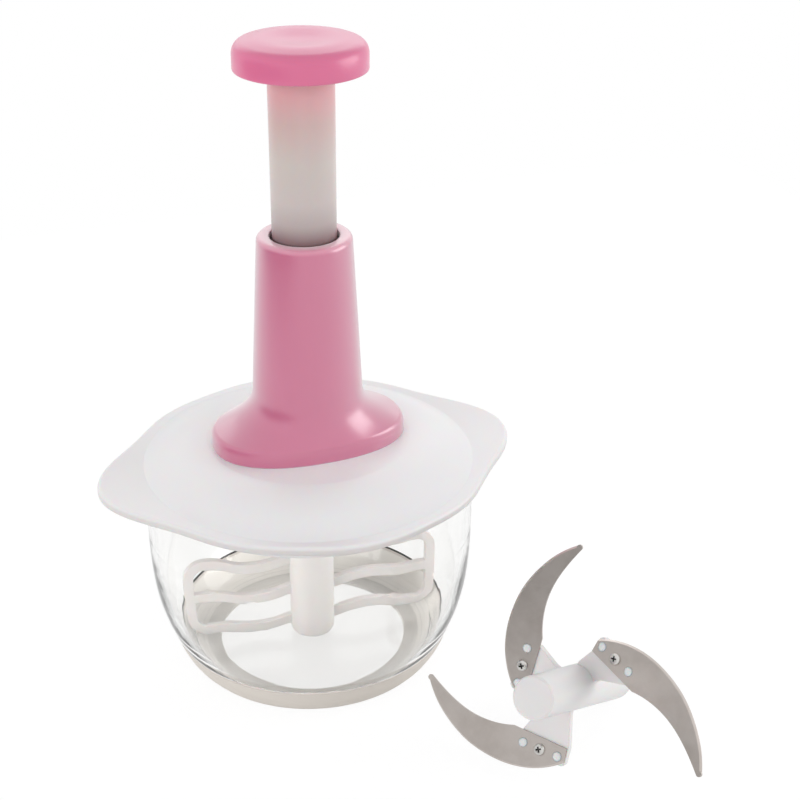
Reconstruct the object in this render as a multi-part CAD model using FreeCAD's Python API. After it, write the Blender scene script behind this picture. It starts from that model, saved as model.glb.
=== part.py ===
import FreeCAD, Part
import math
import os

from FreeCAD import Placement, Rotation, Vector

# Plunger food chopper: a clear bowl on a soft base ring, a lobed lid that carries the
# plunger drive, a mixing paddle on the drive spindle, and the spare blade set beside it.
# Millimetres, +Z up. The origin is on the bowl's axis, in the plane of the table, and the
# lid's two finger lobes point along +X and -X.

# ---------------------------------------------------------------- driving dimensions
# bowl and base ring
BOWL_R = 70.3             # widest outer radius
BOWL_RIM_Z = 92.5
BOWL_WALL = 2.4
FLOOR_UNDER_Z = 1.5
FLOOR_TOP_Z = 3.7
RIM_BEAD = 0.9
BASE_HOLE_R = 42.2
BASE_FOOT_R = 52.3
BASE_TOP_R = 62.2
BASE_TOP_Z = 15.0
BASE_SKIN = 1.8
BASE_GROOVE = 0.4         # open line between the ring's top edge and the bowl

# lid
LID_MEAN_R = 78.4         # outline radius = mean + sum of waves in the angle
LID_WAVES = {2: 5.5, 4: 3.7, 6: 1.8, 8: 1.2}
LID_TOP_Z = 95.0
LID_LIP_Z = 91.8
LID_SKIN = 2.2
DOME_R = 69.5
PLATEAU_R = 43.0
PLATEAU_Z = 104.9
SPIGOT_R = 67.0
SPIGOT_BOTTOM_Z = 86.2
WELL_R = 15.2
WELL_WALL = 2.3
WELL_FLOOR_Z = 93.0
WELL_UNDER_Z = 90.8

# sleeve
SLEEVE_TOP_Z = 195.4
SLEEVE_TOP_R = 19.3
CONE_FOOT_Z = 123.0
CONE_FOOT_R = 23.2
FOOT_LONG = 41.4          # half lengths of the oval foot
FOOT_SHORT = 26.9
FOOT_POWER = 2.3
FOOT_RIM_H = 7.4
SLEEVE_WALL = 2.3
SLEEVE_HOLE_R = 14.1
BUSH_SEAT_R = 16.9
BUSH_TOP_Z = 191.8
BUSH_H = 13.0

# plunger
TUBE_R = 13.0
TUBE_BORE_R = 11.0
TUBE_BOTTOM_Z = 172.7
TUBE_TOP_Z = 268.8
FLANGE_R = 15.5
FLANGE_H = 3.0
KEY_R = 17.3
KEY_W = 4.0
KNOB_R = 26.1
KNOB_BOTTOM_Z = 262.1
KNOB_EDGE_Z = 271.8
KNOB_TOP_Z = 273.9
STROKE = 62.0

# drive
TWIST_LEAD = 31.0         # one turn of the rod in this height
BAR_WIDTH = 7.0
BAR_THICK = 2.4
SLOT_CLEARANCE = 0.22
ROD_TWIST_Z = 106.5
ROD_TWIST_TOP_Z = 184.5
ROD_SHANK_R = 3.4
NUT_H = 8.0
SEAT_Z = 186.0
SEAT_H = 2.5
SPRING_R = 8.7
SPRING_WIRE_R = 0.65
SPRING_TURNS = 9.0
SPRING_TOP_Z = 264.0
CLUTCH_R = 13.0
CLUTCH_BORE_R = 7.6
CLUTCH_TEETH = 12
TOOTH_H = 1.8
TOOTH_GAP = 0.45
HUB_DISC_Z = 95.1
HUB_DISC_H = 2.6
JOURNAL_R = 6.0
JOURNAL_CLEARANCE = 0.06
SPINDLE_R = 4.4
SPINDLE_KEY_R = 5.5
SPINDLE_KEY_W = 1.6
SPINDLE_TIP_Z = 34.0
SOCKET_R = 4.5
SOCKET_KEY_R = 5.8
SOCKET_KEY_W = 1.9

# paddle
PADDLE_ANGLE = -5.0
HUB_R = 9.9
PADDLE_BOTTOM_Z = 4.4
PADDLE_TOP_Z = 88.0
BAR_LEVELS = (12.4, 28.6, 44.6)
BAR_H = 4.6
PADDLE_THICK = 2.8
WING_R = 57.4
WING_POST_W = 4.4
WING_BOTTOM_Z = 9.6
WING_TOP_Z = 49.5
WING_CORNER = 9.0
BAR_WAVE = 2.5

# spare blade set, in its own frame: hub axis on Z, closed end at the top in the plane Z = 0
BLADE_HUB_R = 8.6
BLADE_HUB_ROOT_R = 9.4
BLADE_HUB_L = 83.6
SOCKET_DEPTH = 54.0
BLADE_T = 1.0
PAD_T = 3.2
BLADES = {                # turn about the hub, slope outwards, twist, place of the screw's seat
    "blade_upper": (-0.7, 10.8, 2.5, (11.69, 17.98, -34.03)),
    "blade_lower": (-106.8, 10.8, -6.5, (8.94, -20.52, -39.44)),
    "blade_middle": (91.6, 3.0, 5.8, (-22.14, 14.14, -29.29)),
}
SCREW_AT = (15.35, 18.52)
PINS_AT = ((8.39, 22.20), (22.01, 14.73))
ARM_ANGLE = 60.0
PIN_R = 1.6
BLADE_SCREW_R = 2.35
SET_TURN = Rotation(83.85, -52.91, -41.63)
SET_PLACE = (47.4, -128.1)    # where the closed end of the hub lies over the table

Z = Vector(0, 0, 1)


# ---------------------------------------------------------------- small tools
def path(start, *steps):
    """Closed wire in the XZ plane. A step is a point, or (middle, end) for an arc, or a
    list of points for a smooth curve through them."""
    def at(p):
        return Vector(p[0], 0, p[1])

    edges = []
    here = start
    for step in steps + (start,):
        if isinstance(step, list):
            curve = Part.BSplineCurve()
            curve.interpolate([at(here)] + [at(p) for p in step])
            edges.append(curve.toShape())
            here = step[-1]
        elif isinstance(step[0], tuple):
            edges.append(Part.Arc(at(here), at(step[0]), at(step[1])).toShape())
            here = step[1]
        elif math.dist(here, step) > 1e-6:
            edges.append(Part.LineSegment(at(here), at(step)).toShape())
            here = step
    return Part.Wire(edges)


def outward(solid):
    """The same solid with its faces turned outwards."""
    return solid if solid.Volume > 0 else solid.reversed()


def turned(start, *steps):
    """Solid of revolution about Z of a closed section in the XZ plane."""
    return outward(Part.Face(path(start, *steps)).revolve(Vector(0, 0, 0), Z, 360))


def loft(wires, ruled=False):
    return outward(Part.makeLoft(wires, True, ruled))


def tube(r_in, r_out, z0, z1):
    ring = Part.makeCylinder(r_out, z1 - z0, Vector(0, 0, z0))
    if r_in > 0:
        ring = ring.cut(Part.makeCylinder(r_in, z1 - z0 + 2, Vector(0, 0, z0 - 1)))
    return ring


def block(x0, x1, y0, y1, z0, z1):
    return Part.makeBox(x1 - x0, y1 - y0, z1 - z0, Vector(x0, y0, z0))


def closed_curve(points):
    curve = Part.BSplineCurve()
    knots = [i / len(points) for i in range(len(points) + 1)]
    curve.interpolate(Points=points, PeriodicFlag=True, Parameters=knots)
    return Part.Wire(curve.toShape())


def oval(long, short, power, z, count=32):
    """Superellipse: half lengths along X and Y, and how square its corners are."""
    points = []
    for i in range(count):
        c = math.cos(2 * math.pi * i / count)
        s = math.sin(2 * math.pi * i / count)
        points.append(Vector(math.copysign(long * abs(c) ** (2 / power), c),
                             math.copysign(short * abs(s) ** (2 / power), s), z))
    return closed_curve(points)


def lid_outline(inset, z, count=72):
    points = []
    for i in range(count):
        angle = 2 * math.pi * i / count
        radius = LID_MEAN_R - inset
        radius += sum(size * math.cos(n * angle) for n, size in LID_WAVES.items())
        points.append(Vector(radius * math.cos(angle), radius * math.sin(angle), z))
    return closed_curve(points)


def around(shape, count, start=0.0):
    """Copies of a shape evenly spaced about the Z axis."""
    copies = []
    for i in range(count):
        copy = shape.copy()
        copy.rotate(Vector(0, 0, 0), Z, start + 360 * i / count)
        copies.append(copy)
    return copies


def join(first, *others):
    return first.fuse([s for s in others]).removeSplitter()


def edges_where(shape, test):
    return [edge for edge in shape.Edges if test(edge)]


def twisted_bar(width, thick, z0, z1, lead, z_zero):
    """Flat bar twisted about Z, left-handed, lying along X at the height z_zero."""
    turn = -360 * (z0 - z_zero) / lead
    x, y = width / 2, thick / 2
    corners = [Vector(-x, -y, z0), Vector(x, -y, z0), Vector(x, y, z0), Vector(-x, y, z0)]
    profile = Part.makePolygon(corners + corners[:1])
    profile.rotate(Vector(0, 0, z0), Z, turn)
    spine = Part.Wire(Part.LineSegment(Vector(0, 0, z0), Vector(0, 0, z1)).toShape())
    guide = Part.makeLongHelix(lead, z1 - z0, width, 0, True)
    guide.translate(Vector(0, 0, z0))
    sweep = Part.BRepOffsetAPI.MakePipeShell(spine)
    sweep.setAuxiliarySpine(Part.Wire(guide.Edges), True, 0)
    sweep.add(profile, False, False)
    sweep.build()
    sweep.makeSolid()
    return outward(sweep.shape())


def saw_tooth(r_in, r_out, angle, span, z_low, z_high, pointing_up):
    """One tooth of a face ratchet: a slope that rises with the angle, then a steep face."""
    wires = []
    for radius in (r_in, r_out):
        def at(a, z, r=radius):
            return Vector(r * math.cos(a), r * math.sin(a), z)

        third = at(angle + span, z_low) if pointing_up else at(angle, z_high)
        corners = [at(angle, z_low), at(angle + span, z_high), third]
        wires.append(Part.makePolygon(corners + corners[:1]))
    return loft(wires, ruled=True)


def keyed_bar(radius, key_radius, key_width, z0, z1):
    """Round bar with three lengthwise keys; the same form, larger, cuts the sockets."""
    bar = Part.makeCylinder(radius, z1 - z0, Vector(0, 0, z0))
    key = block(0, key_radius, -key_width / 2, key_width / 2, z0, z1)
    return bar.fuse(around(key, 3, 90)).removeSplitter()


def pan_screw(x, y, z_seat, head_r, head_h, shank_r, shank_l, up=True):
    """Pan head screw with a cross recess. The head sits on z_seat and the shank runs the other way."""
    way = 1 if up else -1
    head = turned((0, 0), (head_r, 0), (head_r, 0.4 * head_h),
                  ((head_r * 0.86, 0.82 * head_h), (head_r * 0.45, head_h)), (0, head_h))
    shank = Part.makeCylinder(shank_r, shank_l, Vector(0, 0, -shank_l))
    recess = block(0, 0.56 * head_r, -0.13 * head_r, 0.13 * head_r, 0.35 * head_h, head_h + 1)
    screw = head.fuse(shank).cut(around(recess, 4))
    if way < 0:
        screw.rotate(Vector(0, 0, 0), Vector(1, 0, 0), 180)
    screw.translate(Vector(x, y, z_seat))
    return screw


# ---------------------------------------------------------------- bowl and base ring
def make_bowl():
    # clear moulding: swelling wall, flat floor, and a stepped-in foot for the base ring
    step_z = BASE_TOP_Z + BASE_GROOVE
    shoulder_r = BASE_TOP_R - 0.1
    inner_r = BOWL_R - BOWL_WALL
    bead_z = BOWL_RIM_Z - 3.2
    return turned(
        (0, FLOOR_UNDER_Z), (49.4, FLOOR_UNDER_Z),
        ((53.9, 3.2), (56.3, 6.6)), (shoulder_r - BASE_SKIN + 0.2, step_z), (shoulder_r, step_z),
        [(65.7, 25), (68.4, 36), (69.9, 50), (BOWL_R, 64)],
        (BOWL_R, bead_z), ((BOWL_R + RIM_BEAD, bead_z + 1.4), (BOWL_R + 0.3, BOWL_RIM_Z)),
        (inner_r + 0.5, BOWL_RIM_Z), (inner_r, BOWL_RIM_Z - 0.8), (inner_r, 64),
        [(67.4, 50), (65.6, 36), (62.6, 25), (58.4, 15), (55.3, 9.6), (51.6, 5.9), (47.6, 4.2),
         (43.0, FLOOR_TOP_Z)],
        (0, FLOOR_TOP_Z))


def make_base_ring():
    # soft ring stretched over the bowl's foot, so that the bowl doesn't slide
    return turned(
        (BASE_HOLE_R, 0), (BASE_FOOT_R, 0),
        [(54.9, 1.5), (57.2, 4.3), (59.2, 7.6), (BASE_TOP_R - 0.3, BASE_TOP_Z - 0.6)],
        ((BASE_TOP_R - 0.6, BASE_TOP_Z - 0.1), (BASE_TOP_R - 1.1, BASE_TOP_Z)),
        (BASE_TOP_R - 1.82, BASE_TOP_Z), (56.3, 6.6),
        ((53.9, 3.2), (49.4, FLOOR_UNDER_Z)), (BASE_HOLE_R, FLOOR_UNDER_Z))


# ---------------------------------------------------------------- lid
SLEEVE_SCREWS_AT = [(x, y) for x in (-30.0, 30.0) for y in (-8.0, 8.0)]
COVER_SCREW_R = 19.0


def make_lid():
    # lobed flange with a turned-down lip, a raised dome, a locating spigot that fits in the
    # bowl's mouth, and a central well that holds the clutch
    flange = Part.Face(lid_outline(0, LID_LIP_Z)).extrude(Vector(0, 0, LID_TOP_Z - LID_LIP_Z))
    top_edge = edges_where(flange, lambda e: abs(e.BoundBox.ZMin - LID_TOP_Z) < 0.01 and e.Length > 50)
    flange = flange.makeFillet(1.5, top_edge)
    pocket = Part.Face(lid_outline(LID_SKIN, LID_LIP_Z - 1)).extrude(
        Vector(0, 0, LID_TOP_Z - LID_SKIN - LID_LIP_Z + 1))
    flange = flange.cut(pocket)
    flange = flange.cut(Part.makeCylinder(DOME_R - 1.5, 20, Vector(0, 0, LID_LIP_Z - 2)))
    skirt_r = SPIGOT_R - 1.8
    dome = turned(
        (WELL_R, PLATEAU_Z), (PLATEAU_R, PLATEAU_Z),
        [(51.0, 103.5), (59.5, 100.2), (66.0, 96.7), (DOME_R + 0.8, LID_TOP_Z)],
        (DOME_R + 0.8, LID_TOP_Z - LID_SKIN), (SPIGOT_R, LID_TOP_Z - LID_SKIN), (SPIGOT_R, SPIGOT_BOTTOM_Z),
        (skirt_r, SPIGOT_BOTTOM_Z), (skirt_r, LID_TOP_Z - LID_SKIN),
        [(58.6, 98.1), (50.4, 101.3), (PLATEAU_R - 0.6, PLATEAU_Z - LID_SKIN)],
        (WELL_R + WELL_WALL, PLATEAU_Z - LID_SKIN), (WELL_R + WELL_WALL, WELL_UNDER_Z),
        (0, WELL_UNDER_Z), (0, WELL_FLOOR_Z), (WELL_R, WELL_FLOOR_Z))
    bosses = []
    for x, y in SLEEVE_SCREWS_AT:
        bosses.append(Part.makeCylinder(4.2, 2.5, Vector(x, y, PLATEAU_Z - LID_SKIN - 1.6)))
    post = Part.makeCylinder(2.9, 10, Vector(COVER_SCREW_R, 0, PLATEAU_Z - 10.5))
    bosses += around(post, 3, 30)
    lid = join(flange, dome, *bosses)
    holes = [Part.makeCylinder(8.0, 20, Vector(0, 0, WELL_UNDER_Z - 5))]
    for x, y in SLEEVE_SCREWS_AT:
        holes.append(Part.makeCylinder(1.6, 12, Vector(x, y, PLATEAU_Z - 6)))
    pilot = Part.makeCylinder(1.2, 8.5, Vector(COVER_SCREW_R, 0, PLATEAU_Z - 8))
    holes += around(pilot, 3, 30)
    return lid.cut(holes)


def make_spindle_bush():
    # flanged bearing pressed into the floor of the well
    bore = JOURNAL_R + JOURNAL_CLEARANCE
    return turned((bore, WELL_UNDER_Z - 1.2), (8.0, WELL_UNDER_Z - 1.2), (8.0, WELL_FLOOR_Z),
                  (11.0, WELL_FLOOR_Z), (11.0, WELL_FLOOR_Z + 1.0), (bore, WELL_FLOOR_Z + 1.0))


def make_spindle_seal():
    # lip ring under the well that keeps food out of the bearing
    lip = JOURNAL_R + 0.05
    return turned((8.0, WELL_UNDER_Z), (11.6, WELL_UNDER_Z), (11.6, WELL_UNDER_Z - 1.4),
                  (9.0, WELL_UNDER_Z - 2.4), (lip, WELL_UNDER_Z - 2.4), (lip, WELL_UNDER_Z - 1.6),
                  (8.0, WELL_UNDER_Z - 1.2))


def make_thrust_washer():
    return tube(JOURNAL_R + 0.4, 12.6, WELL_FLOOR_Z + 1.0, WELL_FLOOR_Z + 1.8)


def make_mechanism_cover():
    # lid of the well: locating rim, hole for the driver's boss, three screw holes
    cover = turned((6.3, PLATEAU_Z), (6.3, PLATEAU_Z + 2.0), (21.6, PLATEAU_Z + 2.0),
                   (22.4, PLATEAU_Z + 1.2), (22.4, PLATEAU_Z), (WELL_R - 0.1, PLATEAU_Z),
                   (WELL_R - 0.1, PLATEAU_Z - 1.1), (WELL_R - 1.6, PLATEAU_Z - 1.1),
                   (WELL_R - 1.6, PLATEAU_Z))
    hole = Part.makeCylinder(1.35, 6, Vector(COVER_SCREW_R, 0, PLATEAU_Z - 1))
    return cover.cut(around(hole, 3, 30))


def make_cover_screws():
    screw = pan_screw(COVER_SCREW_R, 0, PLATEAU_Z + 2.0, 2.5, 1.6, 1.2, 9.0)
    return Part.makeCompound(around(screw, 3, 30))


# ---------------------------------------------------------------- sleeve
def cone_radius(z):
    slope = (CONE_FOOT_R - SLEEVE_TOP_R) / (SLEEVE_TOP_Z - CONE_FOOT_Z)
    return SLEEVE_TOP_R + slope * (SLEEVE_TOP_Z - z)


def sleeve_section(z, inset):
    """Outline of the sleeve at one height: round in the cone, oval in the foot."""
    rim_z = PLATEAU_Z + FOOT_RIM_H
    rise = min(1.0, max(0.0, (z - rim_z) / (CONE_FOOT_Z - rim_z)))
    flare = (1 - rise) ** 2.3
    base = cone_radius(max(z, rim_z))
    draft = 0.05 * max(0.0, rim_z - z)
    long = base + (FOOT_LONG - 0.4 - base) * flare + draft - inset
    short = base + (FOOT_SHORT - 0.4 - base) * flare + draft - inset
    return oval(long, short, 2 + (FOOT_POWER - 2) * flare, z - (0 if inset == 0 else 1.2 * flare))


def make_sleeve():
    # slender cone that flares into an oval foot; hollow, open below
    rim_z = PLATEAU_Z + FOOT_RIM_H
    cove_h = CONE_FOOT_Z - rim_z
    heights = [rim_z + cove_h * part for part in (0, 0.06, 0.14, 0.25, 0.39, 0.56, 0.77, 1)]
    cone = loft([sleeve_section(z, 0) for z in heights]).fuse(
        loft([sleeve_section(z, 0) for z in (CONE_FOOT_Z, SLEEVE_TOP_Z)]))
    foot = loft([sleeve_section(z, 0) for z in (PLATEAU_Z, rim_z)])
    body = cone.fuse(foot).removeSplitter()
    # rounded rim, mouth for the tube and seat for the bush
    seat_z = BUSH_TOP_Z - BUSH_H
    edge_r = cone_radius(SLEEVE_TOP_Z - 2.4) + 0.02
    bend = 2.3 * (1 - math.sqrt(0.5))
    envelope = turned(
        (0, PLATEAU_Z - 5), (60, PLATEAU_Z - 5), (60, SLEEVE_TOP_Z - 2.4), (edge_r, SLEEVE_TOP_Z - 2.4),
        ((edge_r - bend, SLEEVE_TOP_Z - bend), (edge_r - 2.3, SLEEVE_TOP_Z)),
        (SLEEVE_HOLE_R + 0.7, SLEEVE_TOP_Z),
        ((SLEEVE_HOLE_R + 0.2, SLEEVE_TOP_Z - 0.2), (SLEEVE_HOLE_R, SLEEVE_TOP_Z - 0.7)),
        (SLEEVE_HOLE_R, BUSH_TOP_Z), (BUSH_SEAT_R, BUSH_TOP_Z), (BUSH_SEAT_R, seat_z), (0, seat_z))
    cavity_top = seat_z
    cavity = loft([sleeve_section(z, SLEEVE_WALL) for z in heights]).fuse(
        loft([sleeve_section(z, SLEEVE_WALL) for z in (CONE_FOOT_Z, cavity_top)]))
    foot_room = Part.Face(sleeve_section(rim_z, SLEEVE_WALL)).extrude(Vector(0, 0, -FOOT_RIM_H - 2))
    body = body.common(envelope).cut([cavity, foot_room])
    # rails that keep the plunger from turning, and screw posts in the foot
    outer = cone.fuse(foot)
    rails = []
    for side in (-1, 1):
        for y in (-KEY_W / 2 - 2.1, KEY_W / 2 + 0.3):
            x0, x1 = sorted((side * 16.1, side * 24.0))
            rails.append(block(x0, x1, y, y + 1.8, rim_z + 1.0, cavity_top - 0.5))
    posts = [Part.makeCylinder(3.3, 9.0, Vector(x, y, PLATEAU_Z)) for x, y in SLEEVE_SCREWS_AT]
    inside = [part.common(outer) for part in rails + posts]
    shell = body.fuse(inside)
    pilots = [Part.makeCylinder(1.3, 7.5, Vector(x, y, PLATEAU_Z - 0.5)) for x, y in SLEEVE_SCREWS_AT]
    return shell.cut(pilots)


def make_sleeve_screws():
    screws = []
    for x, y in SLEEVE_SCREWS_AT:
        screws.append(pan_screw(x, y, PLATEAU_Z - LID_SKIN - 1.6, 2.7, 1.7, 1.3, 10.0, up=False))
    return Part.makeCompound(screws)


def make_guide_bush():
    # bearing ring that guides the plunger; the plunger's flange stops against it
    bore = TUBE_R + 0.06
    z0 = BUSH_TOP_Z - BUSH_H
    bush = turned((bore, z0), (BUSH_SEAT_R, z0), (BUSH_SEAT_R, BUSH_TOP_Z - 0.6),
                  (BUSH_SEAT_R - 0.6, BUSH_TOP_Z), (bore + 0.5, BUSH_TOP_Z), (bore, BUSH_TOP_Z - 0.5))
    grooves = [tube(TUBE_R + 1.0, BUSH_SEAT_R + 1, z0 + 3 + 4 * i, z0 + 5 + 4 * i) for i in range(2)]
    relief = grooves[0].fuse(grooves[1]).cut(tube(0, BUSH_SEAT_R - 1.1, z0, BUSH_TOP_Z))
    return bush.cut(relief)


# ---------------------------------------------------------------- plunger
def make_plunger_tube():
    body = turned((TUBE_BORE_R, TUBE_BOTTOM_Z), (FLANGE_R, TUBE_BOTTOM_Z),
                  (FLANGE_R, TUBE_BOTTOM_Z + FLANGE_H), (TUBE_R, TUBE_BOTTOM_Z + FLANGE_H),
                  (TUBE_R, TUBE_TOP_Z), (TUBE_BORE_R, TUBE_TOP_Z))
    keys = []
    for side in (-1, 1):
        x0, x1 = sorted((side * (TUBE_R - 0.5), side * KEY_R))
        keys.append(block(x0, x1, -KEY_W / 2, KEY_W / 2, TUBE_BOTTOM_Z, TUBE_BOTTOM_Z + FLANGE_H))
    return join(body, *keys)


def make_plunger_knob():
    # palm knob: shell with a crowned, slightly dished top, a socket for the tube and ribs
    wall = 2.4
    roof = KNOB_EDGE_Z - 0.6
    shell = turned(
        (KNOB_R - wall, KNOB_BOTTOM_Z), (KNOB_R - 0.5, KNOB_BOTTOM_Z), (KNOB_R, KNOB_BOTTOM_Z + 0.6),
        (KNOB_R - 0.15, KNOB_EDGE_Z - 1.2),
        ((KNOB_R - 0.75, KNOB_EDGE_Z + 0.3), (KNOB_R - 2.3, KNOB_EDGE_Z + 0.95)),
        [(20.0, KNOB_TOP_Z - 0.35), (15.5, KNOB_TOP_Z), (11.0, KNOB_TOP_Z - 0.2), (5.5, KNOB_TOP_Z - 0.75),
         (0, KNOB_TOP_Z - 0.9)],
        (0, SPRING_TOP_Z), (TUBE_BORE_R - 0.2, SPRING_TOP_Z), (TUBE_BORE_R, SPRING_TOP_Z + 1.0),
        (TUBE_BORE_R, TUBE_TOP_Z), (TUBE_R, TUBE_TOP_Z), (TUBE_R, KNOB_BOTTOM_Z + 1.5),
        (TUBE_R + 1.9, KNOB_BOTTOM_Z + 1.5), (TUBE_R + 2.1, roof), (KNOB_R - wall - 0.3, roof))
    rib = block(TUBE_R + 1.2, KNOB_R - wall + 0.4, -0.8, 0.8, KNOB_BOTTOM_Z + 3.0, roof + 0.3)
    return join(shell, *around(rib, 8, 22.5))


def make_drive_nut():
    # plug in the tube's lower end; its slot has the rod's own twist
    z0 = TUBE_BOTTOM_Z + 0.3
    plug = turned((0, z0), (TUBE_BORE_R, z0), (TUBE_BORE_R, z0 + NUT_H - 0.6),
                  (TUBE_BORE_R - 0.6, z0 + NUT_H), (0, z0 + NUT_H))
    slot = twisted_bar(BAR_WIDTH + 2 * SLOT_CLEARANCE, BAR_THICK + 2 * SLOT_CLEARANCE,
                       z0 - 2, z0 + NUT_H + 2, TWIST_LEAD, ROD_TWIST_Z)
    return plug.cut(slot)


def make_return_spring():
    # compression spring inside the tube, between the seat on the rod and the knob
    z0 = SEAT_Z + SEAT_H + SPRING_WIRE_R + 0.1
    z1 = SPRING_TOP_Z - SPRING_WIRE_R - 0.1
    helix = Part.makeLongHelix((z1 - z0) / SPRING_TURNS, z1 - z0, SPRING_R, 0, False)
    helix.translate(Vector(0, 0, z0))
    wire = Part.Wire(helix.Edges)
    section = Part.Wire(Part.makeCircle(SPRING_WIRE_R, Vector(SPRING_R, 0, z0), Vector(0, 1, 0)))
    return wire.makePipeShell([section], True, True)


# ---------------------------------------------------------------- drive
def make_spiral_rod():
    # twisted flat bar with a round shank below, and a collar and tip above
    bar = twisted_bar(BAR_WIDTH, BAR_THICK, ROD_TWIST_Z, ROD_TWIST_TOP_Z, TWIST_LEAD, ROD_TWIST_Z)
    shank = tube(0, ROD_SHANK_R, HUB_DISC_Z + HUB_DISC_H + TOOTH_H + TOOTH_GAP + 0.6, ROD_TWIST_Z + 0.4)
    tip = turned((0, ROD_TWIST_TOP_Z - 0.6), (3.9, ROD_TWIST_TOP_Z - 0.6), (3.9, SEAT_Z), (2.0, SEAT_Z),
                 (2.0, SEAT_Z + SEAT_H), (0, SEAT_Z + SEAT_H))
    return bar.fuse(shank).fuse(tip)


def make_spring_seat():
    # cup on the rod's tip that the spring stands on
    top = SEAT_Z + SEAT_H
    return turned((2.0, SEAT_Z), (9.9, SEAT_Z), (9.9, SEAT_Z + 1.4), (7.4, SEAT_Z + 1.4),
                  (7.4, top - 0.001), (2.0, top - 0.001)).fuse(tube(7.4, 9.9, SEAT_Z, top))


def make_clutch_driver():
    # upper half of the one-way clutch, fixed on the rod's shank
    z_face = HUB_DISC_Z + HUB_DISC_H + TOOTH_GAP + TOOTH_H
    disc = turned((ROD_SHANK_R, z_face), (CLUTCH_R, z_face), (CLUTCH_R, z_face + 2.7),
                  (5.6, z_face + 2.7), (5.6, ROD_TWIST_Z - 0.1), (ROD_SHANK_R, ROD_TWIST_Z - 0.1))
    span = 2 * math.pi / CLUTCH_TEETH
    lag = 0.03
    teeth = [saw_tooth(CLUTCH_BORE_R, CLUTCH_R - 0.4, i * span + lag, span, z_face - TOOTH_H, z_face + 0.01,
                       False) for i in range(CLUTCH_TEETH)]
    return join(disc, *teeth)


def make_clutch_hub():
    # lower half of the clutch, with the journal that runs in the bush
    top = HUB_DISC_Z + HUB_DISC_H
    body = turned((SPINDLE_R, WELL_UNDER_Z - 2.6), (JOURNAL_R, WELL_UNDER_Z - 2.6), (JOURNAL_R, HUB_DISC_Z),
                  (CLUTCH_R, HUB_DISC_Z), (CLUTCH_R, top), (SPINDLE_R, top))
    span = 2 * math.pi / CLUTCH_TEETH
    teeth = [saw_tooth(CLUTCH_BORE_R, CLUTCH_R - 0.4, i * span, span, top - 0.01, top + TOOTH_H, True)
             for i in range(CLUTCH_TEETH)]
    return join(body, *teeth)


def make_drive_spindle():
    # shaft that carries the paddle or the blade set: round core, three keys, bevelled tip
    top = HUB_DISC_Z + HUB_DISC_H
    shaft = keyed_bar(SPINDLE_R, SPINDLE_KEY_R, SPINDLE_KEY_W, SPINDLE_TIP_Z, WELL_UNDER_Z - 2.9)
    neck = tube(0, SPINDLE_R, WELL_UNDER_Z - 3.5, top + 1.0)
    tip = turned((0, SPINDLE_TIP_Z - 1), (SPINDLE_R - 1.2, SPINDLE_TIP_Z - 1),
                 (SPINDLE_KEY_R + 0.5, SPINDLE_TIP_Z + 1.7), (SPINDLE_KEY_R + 0.5, top + 2), (0, top + 2))
    spindle = join(shaft, neck).common(tip)
    spindle.rotate(Vector(0, 0, 0), Z, PADDLE_ANGLE)
    return spindle


# ---------------------------------------------------------------- paddle
def wing_bar(level, side):
    """One wavy bar of a wing, from the hub to the outer post. The end bars run into the
    post's round corners."""
    corner = WING_R - WING_CORNER
    reach = WING_R - WING_POST_W / 2 if level == BAR_LEVELS[1] else corner
    end = {BAR_LEVELS[0]: WING_BOTTOM_Z + BAR_H / 2, BAR_LEVELS[1]: level + 1.5,
           BAR_LEVELS[2]: WING_TOP_Z - BAR_H / 2}[level]
    stations = [HUB_R - 2.5, HUB_R, 15.0, 21.0, 28.0, 34.0, 40.0, 44.0, reach]
    centre = []
    for r in stations:
        phase = min(1.0, max(0.0, (r - HUB_R) / 31.0))
        wave = side * BAR_WAVE * math.sin(math.pi * phase)
        blend = min(1.0, max(0.0, (r - 31.0) / (corner - 31.0)))
        lift = (end - level) * blend * blend * (3 - 2 * blend)
        centre.append((side * r, level + wave + lift))
    upper = [(x, z + BAR_H / 2) for x, z in centre]
    lower = [(x, z - BAR_H / 2) for x, z in reversed(centre)]
    face = Part.Face(path(upper[0], upper[1:], lower[0], lower[1:]))
    bar = face.extrude(Vector(0, PADDLE_THICK, 0))
    bar.translate(Vector(0, -PADDLE_THICK / 2, 0))
    return bar


def rounded_post(side):
    """Outer post of a wing with turned-in round ends that run into the end bars."""
    corner = WING_CORNER
    x_out, x_in = WING_R, WING_R - WING_POST_W
    z0, z1 = WING_BOTTOM_Z, WING_TOP_Z
    c = corner * (1 - math.sqrt(0.5))
    inner = corner - WING_POST_W
    d = inner * (1 - math.sqrt(0.5))
    back = x_out - corner - 1.5
    wire = path(
        (x_out - corner, z0), ((x_out - c, z0 + c), (x_out, z0 + corner)), (x_out, z1 - corner),
        ((x_out - c, z1 - c), (x_out - corner, z1)), (back, z1 - 0.3), (back, z1 - BAR_H + 0.3),
        (x_out - corner, z1 - WING_POST_W),
        ((x_in - d, z1 - WING_POST_W - d), (x_in, z1 - corner)), (x_in, z0 + corner),
        ((x_in - d, z0 + WING_POST_W + d), (x_out - corner, z0 + WING_POST_W)),
        (back, z0 + BAR_H - 0.3), (back, z0 + 0.3))
    face = Part.Face(wire)
    post = face.extrude(Vector(0, PADDLE_THICK, 0))
    post.translate(Vector(0, -PADDLE_THICK / 2, 0))
    if side < 0:
        post.rotate(Vector(0, 0, 0), Z, 180)
    return post


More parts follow.
